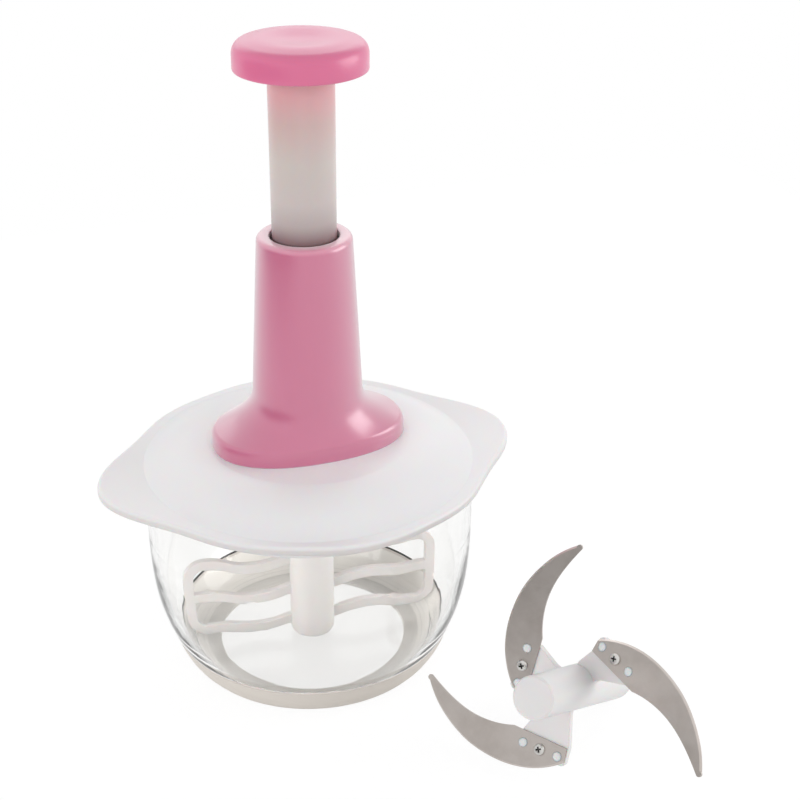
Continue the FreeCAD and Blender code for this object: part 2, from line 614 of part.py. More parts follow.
def make_paddle():
    # mixing paddle: closed hub that pushes on to the spindle, and two open wings of bars
    hub = turned((0, PADDLE_BOTTOM_Z), (HUB_R - 3.2, PADDLE_BOTTOM_Z),
                 ((HUB_R - 1.0, PADDLE_BOTTOM_Z + 1.0), (HUB_R - 0.1, PADDLE_BOTTOM_Z + 3.2)),
                 (HUB_R, PADDLE_TOP_Z - 0.8), (HUB_R - 0.8, PADDLE_TOP_Z), (0, PADDLE_TOP_Z))
    pieces = []
    for side in (-1, 1):
        pieces.append(rounded_post(side))
        pieces += [wing_bar(level, side) for level in BAR_LEVELS]
    paddle = join(hub, *pieces)
    socket = keyed_bar(SOCKET_R, SOCKET_KEY_R, SOCKET_KEY_W, SPINDLE_TIP_Z - 2.0, PADDLE_TOP_Z + 1)
    mouth = turned((0, PADDLE_TOP_Z - 1.5), (SOCKET_KEY_R, PADDLE_TOP_Z - 1.5),
                   (SOCKET_KEY_R + 1.6, PADDLE_TOP_Z + 0.1), (0, PADDLE_TOP_Z + 0.1))
    paddle = paddle.cut([socket, mouth])
    paddle.rotate(Vector(0, 0, 0), Z, PADDLE_ANGLE)
    return paddle


# ---------------------------------------------------------------- spare blade set
BLADE_ROOT = ((6.1, 25.0), (3.9, 19.8))
BLADE_BACK = [(17.6, 25.6), (30.0, 22.4), (39.5, 17.0), (47.1, 10.5), (52.8, 3.1), (57.2, -5.2),
              (60.1, -16.4)]
BLADE_TIP = ((59.7, -18.2), (58.2, -17.7))
BLADE_EDGE = [(51.8, -9.0), (43.3, -0.6), (34.2, 4.7), (25.0, 7.4)]


def blade_place(name):
    """Where a blade drawn flat at Z = 0 goes on the hub. It turns about its own screw."""
    turn, slope, twist, seat = BLADES[name]
    to_screw = Placement(Vector(-SCREW_AT[0], -SCREW_AT[1], 0), Rotation())
    return Placement(Vector(*seat), Rotation(turn, -slope, twist)).multiply(to_screw)


def on_blade(shape, name):
    """Puts a shape made flat at Z = 0 into a blade's tilted place on the hub."""
    placed = shape.copy()
    placed.Placement = blade_place(name).multiply(placed.Placement)
    return placed


def hub_foot(name, z):
    """The point of the hub's axis at depth z in a blade's own flat frame."""
    to_flat = blade_place(name).inverse()
    start = to_flat.multVec(Vector(0, 0, 0))
    step = to_flat.multVec(Z) - start
    return start + step * ((z - start.z) / step.z) - Vector(0, 0, z)


def flat_blade():
    # swept steel blade with a ground edge along its outer curve and three holes
    def at(p):
        return Vector(p[0], p[1], 0)

    def smooth(points):
        curve = Part.BSplineCurve()
        curve.interpolate([at(p) for p in points])
        return curve.toShape()

    root_out, root_in = BLADE_ROOT
    back = smooth([root_out] + BLADE_BACK)
    tip = Part.Arc(at(BLADE_BACK[-1]), at(BLADE_TIP[0]), at(BLADE_TIP[1])).toShape()
    edge = smooth([BLADE_TIP[1]] + BLADE_EDGE)
    sides = [Part.LineSegment(at(BLADE_EDGE[-1]), at(root_in)).toShape(),
             Part.LineSegment(at(root_in), at(root_out)).toShape()]
    blade = Part.Face(Part.Wire([back, tip, edge] + sides)).extrude(Vector(0, 0, -BLADE_T))
    ground = edges_where(blade, lambda e: e.BoundBox.ZMin > -0.01 and e.Length > 65)
    blade = blade.makeChamfer(0.7, ground[:1])
    holes = [Part.makeCylinder(PIN_R + 0.05, 4, Vector(x, y, -2)) for x, y in PINS_AT]
    holes.append(Part.makeCylinder(1.5, 4, Vector(SCREW_AT[0], SCREW_AT[1], -2)))
    return blade.cut(holes)


def flat_arm(name):
    # fan-shaped arm from the hub to a pad under the blade's root, with two staked pins
    turn = math.radians(ARM_ANGLE)
    direction = Vector(math.cos(turn), math.sin(turn), 0)
    across = Vector(direction.y, -direction.x, 0)

    def at(out, side):
        return direction * out + across * side

    top = -BLADE_T
    foot = hub_foot(name, top - PAD_T / 2)
    corners = [foot + at(4.0, -4.0), foot + at(9.0, -5.0), at(18.6, -7.0), at(25.2, -7.4), at(26.6, -6.2),
               at(27.2, 12.4), at(25.4, 14.6), at(18.6, 13.8), foot + at(9.0, 6.4), foot + at(4.0, 4.6)]
    plate = Part.Face(Part.makePolygon(corners + corners[:1])).extrude(Vector(0, 0, -PAD_T))
    inner, outer = foot + at(6.0, -1.2), foot + at(6.0, 1.2)
    rib = Part.makePolygon([inner, at(26.0, 0.8), at(26.0, 2.8), outer, inner])
    web = Part.Face(rib).extrude(Vector(0, 0, -PAD_T - 2.6))
    pins = []
    for x, y in PINS_AT:
        pins.append(Part.makeCylinder(PIN_R, BLADE_T + 1.0, Vector(x, y, -1.0)))
        pins.append(Part.makeCone(PIN_R + 0.35, PIN_R - 0.4, 0.5, Vector(x, y, BLADE_T)))
    pilot = Part.makeCylinder(1.1, 5.0, Vector(SCREW_AT[0], SCREW_AT[1], -4.4))
    arm = join(plate, web, *pins).cut(pilot)
    arm.translate(Vector(0, 0, top))
    return arm


def make_blade_hub():
    hub = turned((0, 0), (BLADE_HUB_R - 0.7, 0), (BLADE_HUB_R, -0.7), (BLADE_HUB_ROOT_R, -BLADE_HUB_L + 0.5),
                 (BLADE_HUB_ROOT_R - 0.5, -BLADE_HUB_L), (0, -BLADE_HUB_L))
    core = Part.makeCylinder(BLADE_HUB_R - 1.0, BLADE_HUB_L, Vector(0, 0, -BLADE_HUB_L))
    arms = [on_blade(flat_arm(name), name) for name in BLADES]
    socket = keyed_bar(SOCKET_R, SOCKET_KEY_R, SOCKET_KEY_W, -BLADE_HUB_L - 1, -BLADE_HUB_L + SOCKET_DEPTH)
    return join(hub, core, *arms).cut(socket)


def make_blade_screws():
    screw = pan_screw(SCREW_AT[0], SCREW_AT[1], 0, BLADE_SCREW_R, 1.5, 1.1, 4.6)
    return Part.makeCompound([on_blade(screw, name) for name in BLADES])


def laid_down(shapes):
    """Turns the blade set to the way it lies, and lowers it on to the table."""
    turn = Placement(Vector(0, 0, 0), SET_TURN)
    for shape in shapes.values():
        shape.Placement = turn.multiply(shape.Placement)
    lowest = min(shape.optimalBoundingBox(False, False).ZMin for shape in shapes.values())
    for name, shape in shapes.items():
        shape.translate(Vector(SET_PLACE[0], SET_PLACE[1], -lowest))
    print("closed end of the spare hub at z", round(-lowest, 3))
    return shapes


# ---------------------------------------------------------------- all the pieces
def main():
    pieces = {
        "bowl": make_bowl(),
        "base_ring": make_base_ring(),
        "lid": make_lid(),
        "spindle_bush": make_spindle_bush(),
        "spindle_seal": make_spindle_seal(),
        "thrust_washer": make_thrust_washer(),
        "mechanism_cover": make_mechanism_cover(),
        "cover_screws": make_cover_screws(),
        "sleeve": make_sleeve(),
        "sleeve_screws": make_sleeve_screws(),
        "guide_bush": make_guide_bush(),
        "plunger_tube": make_plunger_tube(),
        "plunger_knob": make_plunger_knob(),
        "drive_nut": make_drive_nut(),
        "return_spring": make_return_spring(),
        "spiral_rod": make_spiral_rod(),
        "spring_seat": make_spring_seat(),
        "clutch_driver": make_clutch_driver(),
        "clutch_hub": make_clutch_hub(),
        "drive_spindle": make_drive_spindle(),
        "paddle": make_paddle(),
    }
    blade_set = {name: on_blade(flat_blade(), name) for name in BLADES}
    blade_set["blade_hub"] = make_blade_hub()
    blade_set["blade_screws"] = make_blade_screws()
    pieces.update(laid_down(blade_set))

    os.makedirs("parts", exist_ok=True)
    for name, shape in pieces.items():
        box = shape.optimalBoundingBox(False, False)
        print(f"{name:16s} solids {len(shape.Solids)} valid {shape.isValid()} volume {shape.Volume:9.1f}"
              f"  z {box.ZMin:7.2f} to {box.ZMax:7.2f}")
        shape.exportStep(f"parts/{name}.step")


main()
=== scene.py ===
import bpy
import math
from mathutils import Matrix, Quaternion, Vector


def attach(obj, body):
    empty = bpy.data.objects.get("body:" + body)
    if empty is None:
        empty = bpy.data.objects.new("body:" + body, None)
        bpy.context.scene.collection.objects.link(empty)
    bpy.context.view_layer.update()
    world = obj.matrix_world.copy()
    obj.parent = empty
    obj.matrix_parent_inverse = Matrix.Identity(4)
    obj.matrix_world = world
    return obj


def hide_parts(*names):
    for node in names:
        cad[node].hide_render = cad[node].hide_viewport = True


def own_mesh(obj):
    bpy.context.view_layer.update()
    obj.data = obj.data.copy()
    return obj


# A hand food chopper on a white table: clear bowl on its soft ring, milky lid, pink plunger drive
# and mixing paddle, with the spare blade set lying beside it. Metres, +Z up.

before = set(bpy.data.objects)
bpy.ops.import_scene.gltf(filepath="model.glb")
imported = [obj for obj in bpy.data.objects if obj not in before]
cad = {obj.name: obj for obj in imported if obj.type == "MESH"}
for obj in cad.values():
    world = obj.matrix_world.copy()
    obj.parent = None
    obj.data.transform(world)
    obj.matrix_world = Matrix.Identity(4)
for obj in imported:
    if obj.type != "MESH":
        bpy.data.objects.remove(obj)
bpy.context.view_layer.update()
bpy.ops.object.select_all(action="DESELECT")


# ------------------------------------------------------------------------------------------------
# The table, the light and the camera. A white sheet lies on the table. Soft lamps stand low on the
# left and right in front of it, a wide one stands behind, and a pale room, darker at the left,
# does the rest.
ROOM_LIGHT = 0.55
ROOM_MIRRORED = 1.1         # what polished things see of the room
DARK_SIDE = (-0.880, -0.120, -0.460)
DARK_SPREAD = (0.62, 0.84)  # cosine of the angle from it: still pale, and fully dark
DARK_MIRRORED = 0.0
SHEET_SIZE = 1.1
SHEET_COLOUR = (0.86, 0.86, 0.86, 1)
SHEET_GLOW = 0.86
SHEET_WHITE = 1.06
LAMPS = {   # name: (place, power, width, height)
    "left_soft_lamp": ((-1.25, -0.70, 0.50), 9.4, 1.1, 0.9),
    "right_soft_lamp": ((1.32, -0.45, 0.48), 9.3, 1.0, 0.9),
    "back_soft_lamp": ((0.30, 1.15, 0.85), 3.5, 1.7, 0.8),
}
LAMP_AIM = Vector((0.02, -0.02, 0.10))
CAMERA_PLACE = (-0.1693, -0.5414, 0.4132)
CAMERA_LENS = 68.12
CAMERA_TURNS = ((2, -21.28), (0, 62.72), (2, 0.54))     # axis and degrees, one after the other


def add_node(tree, kind, **settings):
    """A node of that kind. Each setting is a property, or the plain value of an input."""
    node = tree.nodes.new("ShaderNode" + kind)
    for name, value in settings.items():
        label = name.replace("_", " ")
        sockets = [s for s in node.inputs if s.name.lower() == label.lower() and s.enabled]
        if hasattr(node, name) and not sockets:
            setattr(node, name, value)
        else:
            sockets[0].default_value = value
    return node


def seen_directly(tree):
    """1 for rays that look straight, by a mirror or through glass; 0 for rays that light things."""
    path = add_node(tree, "LightPath")
    first = add_node(tree, "Math", operation="MAXIMUM")
    second = add_node(tree, "Math", operation="MAXIMUM")
    tree.links.new(path.outputs["Is Camera Ray"], first.inputs[0])
    tree.links.new(path.outputs["Is Glossy Ray"], first.inputs[1])
    tree.links.new(first.outputs[0], second.inputs[0])
    tree.links.new(path.outputs["Is Transmission Ray"], second.inputs[1])
    return second.outputs[0]


def lay_sheet():
    bpy.ops.mesh.primitive_plane_add(size=SHEET_SIZE, location=(0, 0, 0))
    sheet = bpy.context.object
    sheet.name = "table_sheet"
    material = bpy.data.materials.new("white_sheet")
    material.use_nodes = True
    tree = material.node_tree
    paper = tree.nodes["Principled BSDF"]
    paper.inputs["Base Color"].default_value = SHEET_COLOUR
    paper.inputs["Roughness"].default_value = 0.9
    paper.inputs["Specular IOR Level"].default_value = 0.1
    glow = add_node(tree, "Emission", color=(1, 1, 1, 1), strength=SHEET_WHITE)
    share = add_node(tree, "Math", operation="MULTIPLY")
    share.inputs[1].default_value = SHEET_GLOW
    mix = add_node(tree, "MixShader")
    tree.links.new(seen_directly(tree), share.inputs[0])
    tree.links.new(share.outputs[0], mix.inputs[0])
    tree.links.new(paper.outputs[0], mix.inputs[1])
    tree.links.new(glow.outputs[0], mix.inputs[2])
    tree.links.new(mix.outputs[0], tree.nodes["Material Output"].inputs["Surface"])
    material.cycles.emission_sampling = "NONE"
    sheet.data.materials.append(material)


def light_room():
    world = bpy.data.worlds.new("pale_room")
    bpy.context.scene.world = world
    world.use_nodes = True
    world.cycles.sampling_method = "NONE"     # so that polished things mirror the strengths below
    tree = world.node_tree
    path = add_node(tree, "LightPath")
    way = add_node(tree, "TexCoord")
    toward = add_node(tree, "VectorMath", operation="DOT_PRODUCT")
    toward.inputs[1].default_value = DARK_SIDE
    side = add_node(tree, "MapRange", from_min=DARK_SPREAD[0], from_max=DARK_SPREAD[1],
                    to_min=ROOM_MIRRORED, to_max=DARK_MIRRORED)
    mirrored = add_node(tree, "Mix", data_type="FLOAT")
    mirrored.inputs[2].default_value = ROOM_LIGHT
    straight = add_node(tree, "Math", operation="MAXIMUM")
    strength = add_node(tree, "Mix", data_type="FLOAT")
    strength.inputs[3].default_value = 1.0
    link = tree.links.new
    link(way.outputs["Generated"], toward.inputs[0])
    link(toward.outputs["Value"], side.inputs["Value"])
    link(path.outputs["Is Glossy Ray"], mirrored.inputs[0])
    link(side.outputs["Result"], mirrored.inputs[3])
    link(path.outputs["Is Camera Ray"], straight.inputs[0])
    link(path.outputs["Is Transmission Ray"], straight.inputs[1])
    link(straight.outputs[0], strength.inputs[0])
    link(mirrored.outputs[0], strength.inputs[2])
    link(strength.outputs[0], tree.nodes["Background"].inputs["Strength"])
    tree.nodes["Background"].inputs["Color"].default_value = (1, 1, 1, 1)


def hang_lamps():
    for name, (place, power, width, height) in LAMPS.items():
        bpy.ops.object.light_add(type="AREA", location=place)
        lamp = bpy.context.object
        lamp.name = name
        lamp.data.shape = "RECTANGLE"
        lamp.data.size = width
        lamp.data.size_y = height
        lamp.data.energy = power
        lamp.rotation_euler = (LAMP_AIM - Vector(place)).to_track_quat("-Z", "Y").to_euler()
        lamp.visible_glossy = not name.startswith("left")     # the blades would mirror it


def set_camera():
    bpy.ops.object.camera_add(location=CAMERA_PLACE)
    camera = bpy.context.object
    camera.data.lens = CAMERA_LENS
    camera.data.sensor_width = 36.0
    turn = Quaternion()
    for axis, angle in CAMERA_TURNS:
        turn = turn @ Quaternion([float(axis == i) for i in range(3)], math.radians(angle))
    camera.rotation_euler = turn.to_euler()
    camera.data.clip_start = 0.01
    bpy.context.scene.camera = camera
    bpy.context.scene.view_settings.view_transform = "Standard"


lay_sheet()
light_room()
hang_lamps()
set_camera()


# ------------------------------------------------------------------------------------------------
# Base ring: a soft grey rubber ring, moulded and stretched over the bowl's foot, so that the bowl
# stands still while the plunger is pushed. Its top edge is left proud of the step in the bowl. Its
# inside is painted paler: painted light on the faces that lie in the bowl's shade.
RING_PROFILE = [   # radius and height in millimetres, from the inner edge round the section
    (42.2, 0.35), (42.55, 0.0), (47.0, 0.0), (51.8, 0.0), (52.9, 0.35), (54.9, 1.6), (57.2, 4.3),
    (59.2, 7.6), (60.7, 11.0), (61.7, 14.1), (61.85, 14.6), (61.6, 14.93), (61.2, 15.0),
    (60.6, 15.0), (60.45, 14.8), (58.6, 11.0), (56.35, 6.6), (55.3, 4.7), (53.95, 3.25),
    (51.9, 2.0), (49.4, 1.48), (46.0, 1.48), (42.5, 1.48), (42.2, 1.15),
]
RING_SEGMENTS = 160
RING_RIM_SHADE_HEIGHTS = (0.0138, 0.0148)   # heights between which the painted shade of the gap under the bowl's step comes in
RING_COLOUR = (0.715, 0.665, 0.61, 1)
# The darker rim colour is painted shade, for the gap under the bowl's step.
RING_RIM_SHADE_COLOUR = (0.64, 0.585, 0.54, 1)
RING_INSIDE_PAINTED_LIGHT = (0.90, 0.865, 0.82, 1)


def edit(piece):
    bpy.ops.object.mode_set(mode="OBJECT")
    bpy.ops.object.select_all(action="DESELECT")
    bpy.context.view_layer.objects.active = piece
    piece.select_set(True)
    bpy.ops.object.mode_set(mode="EDIT")


def finish_edit():
    """Merges what lies together, turns the faces outwards and leaves edit mode."""
    bpy.ops.mesh.select_all(action="SELECT")
    bpy.ops.mesh.remove_doubles(threshold=1e-6)
    bpy.ops.mesh.normals_make_consistent(inside=False)
    bpy.ops.mesh.select_all(action="DESELECT")
    bpy.ops.object.mode_set(mode="OBJECT")


def step_to(radius, height, last_radius, last_height):
    """Draws the selected circle out to the next radius and height of a turned section."""
    rise = (0, 0, (height - last_height) / 1000)
    factor = radius / last_radius
    bpy.ops.mesh.extrude_edges_move(TRANSFORM_OT_translate={"value": rise})
    bpy.ops.transform.resize(value=(factor, factor, 1), center_override=(0, 0, 0))


def turn_profile(name, profile, segments):
    """A ring drawn out from a circle, step by step, along a closed section in millimetres."""
    radius, height = profile[0]
    bpy.ops.mesh.primitive_circle_add(vertices=segments, radius=radius / 1000,
                                      location=(0, 0, height / 1000))
    ring = bpy.context.object
    ring.name = name
    bpy.ops.object.transform_apply(location=True)
    edit(ring)
    bpy.ops.mesh.select_all(action="SELECT")
    for r, z in profile[1:] + profile[:1]:
        step_to(r, z, radius, height)
        radius, height = r, z
    finish_edit()
    return ring


def smooth(piece, angle=35):
    bpy.ops.object.select_all(action="DESELECT")
    bpy.context.view_layer.objects.active = piece
    piece.select_set(True)
    bpy.ops.object.shade_smooth_by_angle(angle=math.radians(angle))


def new_group(name, inputs, outputs):
    """An empty node group. An input is a number, a colour or, for a place, None."""
    group = bpy.data.node_groups.new(name, "ShaderNodeTree")
    for label, start in inputs.items():
        kind = "Vector" if start is None else "Color" if isinstance(start, tuple) else "Float"
        socket = group.interface.new_socket(label, in_out="INPUT", socket_type="NodeSocket" + kind)
        if start is not None:
            socket.default_value = start
    for label, kind in outputs.items():
        group.interface.new_socket(label, in_out="OUTPUT", socket_type="NodeSocket" + kind)
    return group, group.nodes.new("NodeGroupInput"), group.nodes.new("NodeGroupOutput")


def skin_group():
    """Moulded skin: slow drift of the colour, cloudy gloss from handling, and a fine grain."""
    group, given, result = new_group(
        "moulded skin",
        {"Colour": (0.8, 0.8, 0.8, 1), "Drift": 0.04, "Cloud scale": 40.0, "Gloss low": 0.25,
         "Gloss high": 0.4, "Grain scale": 900.0},
        {"Colour": "Color", "Roughness": "Float", "Height": "Float"})
    place = add_node(group, "TexCoord")
    clouds = add_node(group, "TexNoise", detail=1.5, roughness=0.4)
    grain = add_node(group, "TexNoise", detail=1.0, roughness=0.5)
    gloss = add_node(group, "MapRange", from_min=0.25, from_max=0.75)
    offset = add_node(group, "Math", operation="SUBTRACT")
    offset.inputs[1].default_value = 0.5
    amount = add_node(group, "Math", operation="MULTIPLY_ADD")
    amount.inputs[2].default_value = 1.0
    tint = add_node(group, "VectorMath", operation="SCALE")
    link = group.links.new
    for noise, scale in ((clouds, "Cloud scale"), (grain, "Grain scale")):
        link(place.outputs["Object"], noise.inputs["Vector"])
        link(given.outputs[scale], noise.inputs["Scale"])
    link(clouds.outputs["Fac"], gloss.inputs["Value"])
    link(given.outputs["Gloss low"], gloss.inputs["To Min"])
    link(given.outputs["Gloss high"], gloss.inputs["To Max"])
    link(gloss.outputs["Result"], result.inputs["Roughness"])
    link(clouds.outputs["Fac"], offset.inputs[0])
    link(offset.outputs[0], amount.inputs[0])
    link(given.outputs["Drift"], amount.inputs[1])
    link(given.outputs["Colour"], tint.inputs[0])
    link(amount.outputs[0], tint.inputs["Scale"])
    link(tint.outputs[0], result.inputs["Colour"])
    link(grain.outputs["Fac"], result.inputs["Height"])
    return group


def edge_group():
    """Where faces meet: 0 on the faces, up to 1 along an edge, and the normal of a rounded edge."""
    group, given, result = new_group("broken edge", {"Radius": 0.0004},
                                     {"Mask": "Float", "Normal": "Vector"})
    bevel = add_node(group, "Bevel", samples=4)
    flat = add_node(group, "NewGeometry")
    same = add_node(group, "VectorMath", operation="DOT_PRODUCT")
    mask = add_node(group, "MapRange", from_min=0.995, from_max=0.85)
    link = group.links.new
    link(given.outputs["Radius"], bevel.inputs["Radius"])
    link(bevel.outputs[0], same.inputs[0])
    link(flat.outputs["Normal"], same.inputs[1])
    link(same.outputs["Value"], mask.inputs["Value"])
    link(mask.outputs["Result"], result.inputs["Mask"])
    link(bevel.outputs[0], result.inputs["Normal"])
    return group


MOULDED_SKIN = skin_group()
BROKEN_EDGE = edge_group()


def place_group(tree, group, **values):
    node = tree.nodes.new("ShaderNodeGroup")
    node.node_tree = group
    for name, value in values.items():
        node.inputs[name.replace("_", " ")].default_value = value
    return node


def moulded(name, colour, drift=0.05, cloud=40.0, gloss=(0.25, 0.4), grain=900.0, depth=0.00002,
            edge=0.0, painted_edge_colour=None, **constants):
    """A moulded plastic or rubber. The constants are plain values on the shader's own sockets."""
    material = bpy.data.materials.new(name)
    material.use_nodes = True
    tree = material.node_tree
    shader = tree.nodes["Principled BSDF"]
    for socket, value in constants.items():
        shader.inputs[socket.replace("_", " ")].default_value = value
    skin = place_group(tree, MOULDED_SKIN, Colour=colour, Drift=drift, Cloud_scale=cloud,
                       Gloss_low=gloss[0], Gloss_high=gloss[1], Grain_scale=grain)
    bump = add_node(tree, "Bump", strength=0.5, distance=depth)
    tree.links.new(skin.outputs["Height"], bump.inputs["Height"])
    tree.links.new(skin.outputs["Roughness"], shader.inputs["Roughness"])
    tree.links.new(bump.outputs["Normal"], shader.inputs["Normal"])
    tree.links.new(skin.outputs["Colour"], shader.inputs["Base Color"])
    # An edge colour, where given, is painted along broken edges: painted highlight where paler,
    # painted shade where darker.
    if edge:
        corner = place_group(tree, BROKEN_EDGE, Radius=edge)
        painted_edge_mix = add_node(tree, "Mix", data_type="RGBA")
        tree.links.new(corner.outputs["Mask"], painted_edge_mix.inputs[0])
        tree.links.new(skin.outputs["Colour"], painted_edge_mix.inputs[6])
        painted_edge_mix.inputs[7].default_value = painted_edge_colour or colour
        tree.links.new(painted_edge_mix.outputs[2], shader.inputs["Base Color"])
        tree.links.new(corner.outputs["Normal"], bump.inputs["Normal"])
    return material


def cover_with(material, *names):
    """Gives CAD nodes this material, in each of their slots."""
    for name in names:
        for slot in cad[name].material_slots:
            slot.material = material


def share_of_height(tree, start, end, **settings):
    """0 at the starting height and beyond it, 1 at the other and beyond that."""
    place = add_node(tree, "TexCoord")
    split = add_node(tree, "SeparateXYZ")
    share = add_node(tree, "MapRange", from_min=start, from_max=end, **settings)
    tree.links.new(place.outputs["Object"], split.inputs[0])
    tree.links.new(split.outputs["Z"], share.inputs["Value"])
    return share.outputs["Result"]


def tint_between(material, start, end, colour):
    """Another colour from one height on, coming in smoothly between the two."""
    tree = material.node_tree
    shader = tree.nodes["Principled BSDF"]
    body = shader.inputs["Base Color"].links[0].from_socket
    share = share_of_height(tree, start, end, interpolation_type="SMOOTHSTEP")
    mix = add_node(tree, "Mix", data_type="RGBA")
    mix.inputs[7].default_value = colour
    tree.links.new(share, mix.inputs[0])
    tree.links.new(body, mix.inputs[6])
    tree.links.new(mix.outputs[2], shader.inputs["Base Color"])


def ring_rubber(name, colour):
    """Grey rubber, painted darker along the thin top edge: painted shade of the gap under the
    bowl's step.
    """
    material = moulded(name, colour, drift=0.10, cloud=55.0, gloss=(0.5, 0.68), grain=500.0,
                       depth=0.00004)
    tint_between(material, *RING_RIM_SHADE_HEIGHTS, RING_RIM_SHADE_COLOUR)
    return material


base_ring = turn_profile("soft_base_ring", RING_PROFILE, RING_SEGMENTS)
smooth(base_ring)
base_ring.data.materials.append(ring_rubber("grey_rubber", RING_COLOUR))
base_ring.data.materials.append(ring_rubber("painted_light_rubber_inside", RING_INSIDE_PAINTED_LIGHT))
# Inward and upward faces get the paler rubber: painted light.
for face in base_ring.data.polygons:
    outward = face.normal.x * face.center.x + face.normal.y * face.center.y
    face.material_index = 1 if outward < 0 or face.normal.z > 0.9 else 0
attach(base_ring, "bowl")
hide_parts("base_ring")


# ------------------------------------------------------------------------------------------------
# Bowl: moulded in one piece of clear, hard plastic, polished inside and out. Lamp rays pass
# straight through it, so that the paddle inside is lit.
CLEAR_TINT = (0.975, 0.975, 0.97, 1)
FLOOR_TINT = (0.87, 0.865, 0.857, 1)
FLOOR_HEIGHT = 0.0041     # up to here the plastic is the bowl's floor
FLOOR_FADE = 0.0006
FLOOR_SCUFFS = 0.16       # how much rougher the floor is


def let_lamps_through(material, share):
    """Rays on their way to a lamp pass with this colour, as through clear or milky plastic."""
    tree = material.node_tree
    path = add_node(tree, "LightPath")
    open_way = add_node(tree, "BsdfTransparent", color=share)
    mix = add_node(tree, "MixShader")
    tree.links.new(path.outputs["Is Shadow Ray"], mix.inputs[0])
    tree.links.new(tree.nodes["Principled BSDF"].outputs[0], mix.inputs[1])
    tree.links.new(open_way.outputs[0], mix.inputs[2])
    tree.links.new(mix.outputs[0], tree.nodes["Material Output"].inputs["Surface"])


def clear_plastic():
    material = moulded("clear_plastic", CLEAR_TINT, drift=0.0, cloud=25.0, gloss=(0.0, 0.03),
                       grain=60.0, depth=0.00001, Transmission_Weight=1.0, IOR=1.36)
    tree = material.node_tree
    shader = tree.nodes["Principled BSDF"]
    skin = shader.inputs["Base Color"].links[0].from_node
    under = share_of_height(tree, FLOOR_HEIGHT + FLOOR_FADE, FLOOR_HEIGHT)
    tint = add_node(tree, "Mix", data_type="RGBA")
    tint.inputs[6].default_value = CLEAR_TINT
    tint.inputs[7].default_value = FLOOR_TINT
    dull = add_node(tree, "Math", operation="MULTIPLY_ADD")
    dull.inputs[1].default_value = FLOOR_SCUFFS
    tree.links.new(under, tint.inputs[0])
    tree.links.new(tint.outputs[2], skin.inputs["Colour"])
    tree.links.new(under, dull.inputs[0])
    tree.links.new(skin.outputs["Roughness"], dull.inputs[2])
    tree.links.new(dull.outputs[0], shader.inputs["Roughness"])
    let_lamps_through(material, (0.98, 0.98, 0.975, 1))
    return material


cover_with(clear_plastic(), "bowl")


# ------------------------------------------------------------------------------------------------
# Lid: one thin moulding in milky white plastic that lets a little light through. It lies on the
# bowl's rim with its spigot inside, and its two lobes are the finger grips. The turned-down rim
# and the broken edges are painted greyer: painted shade.
MILKY = (0.87, 0.875, 0.887, 1)
LID_EDGE_SHADE = (0.74, 0.73, 0.735, 1)
LID_RIM_SHADE = (0.67, 0.66, 0.66, 1)
milky_lid = moulded("milky_plastic", MILKY, drift=0.05, cloud=30.0, gloss=(0.29, 0.37),
                    grain=320.0, depth=0.00001, edge=0.0008, painted_edge_colour=LID_EDGE_SHADE,
                    Subsurface_Weight=0.35, Subsurface_Scale=0.006, IOR=1.49)
tint_between(milky_lid, 0.0951, 0.0932, LID_RIM_SHADE)     # heights of the rim's top edge and side; below them comes the painted shade
let_lamps_through(milky_lid, (0.72, 0.71, 0.705, 1))
cover_with(milky_lid, "lid")


# ------------------------------------------------------------------------------------------------
# Bearing under the clutch: a white acetal bush pressed into the well's floor, a dark lip seal
# below it, and a thin steel washer on top that takes the thrust of the plunger.
ACETAL = (0.76, 0.76, 0.74, 1)
white_acetal = moulded("white_acetal", ACETAL, drift=0.04, cloud=120.0, gloss=(0.3, 0.45),
                       grain=2500.0, depth=0.00001, edge=0.0002,
                       Subsurface_Weight=0.15, Subsurface_Scale=0.002, IOR=1.48)
SEAL_BLACK = (0.045, 0.045, 0.047, 1)
# Its paler edge colour is a painted highlight along broken edges.
seal_rubber = moulded("seal_rubber", SEAL_BLACK, drift=0.3, cloud=150.0, gloss=(0.45, 0.65),
                      grain=2500.0, edge=0.0002, painted_edge_colour=(0.09, 0.09, 0.09, 1))


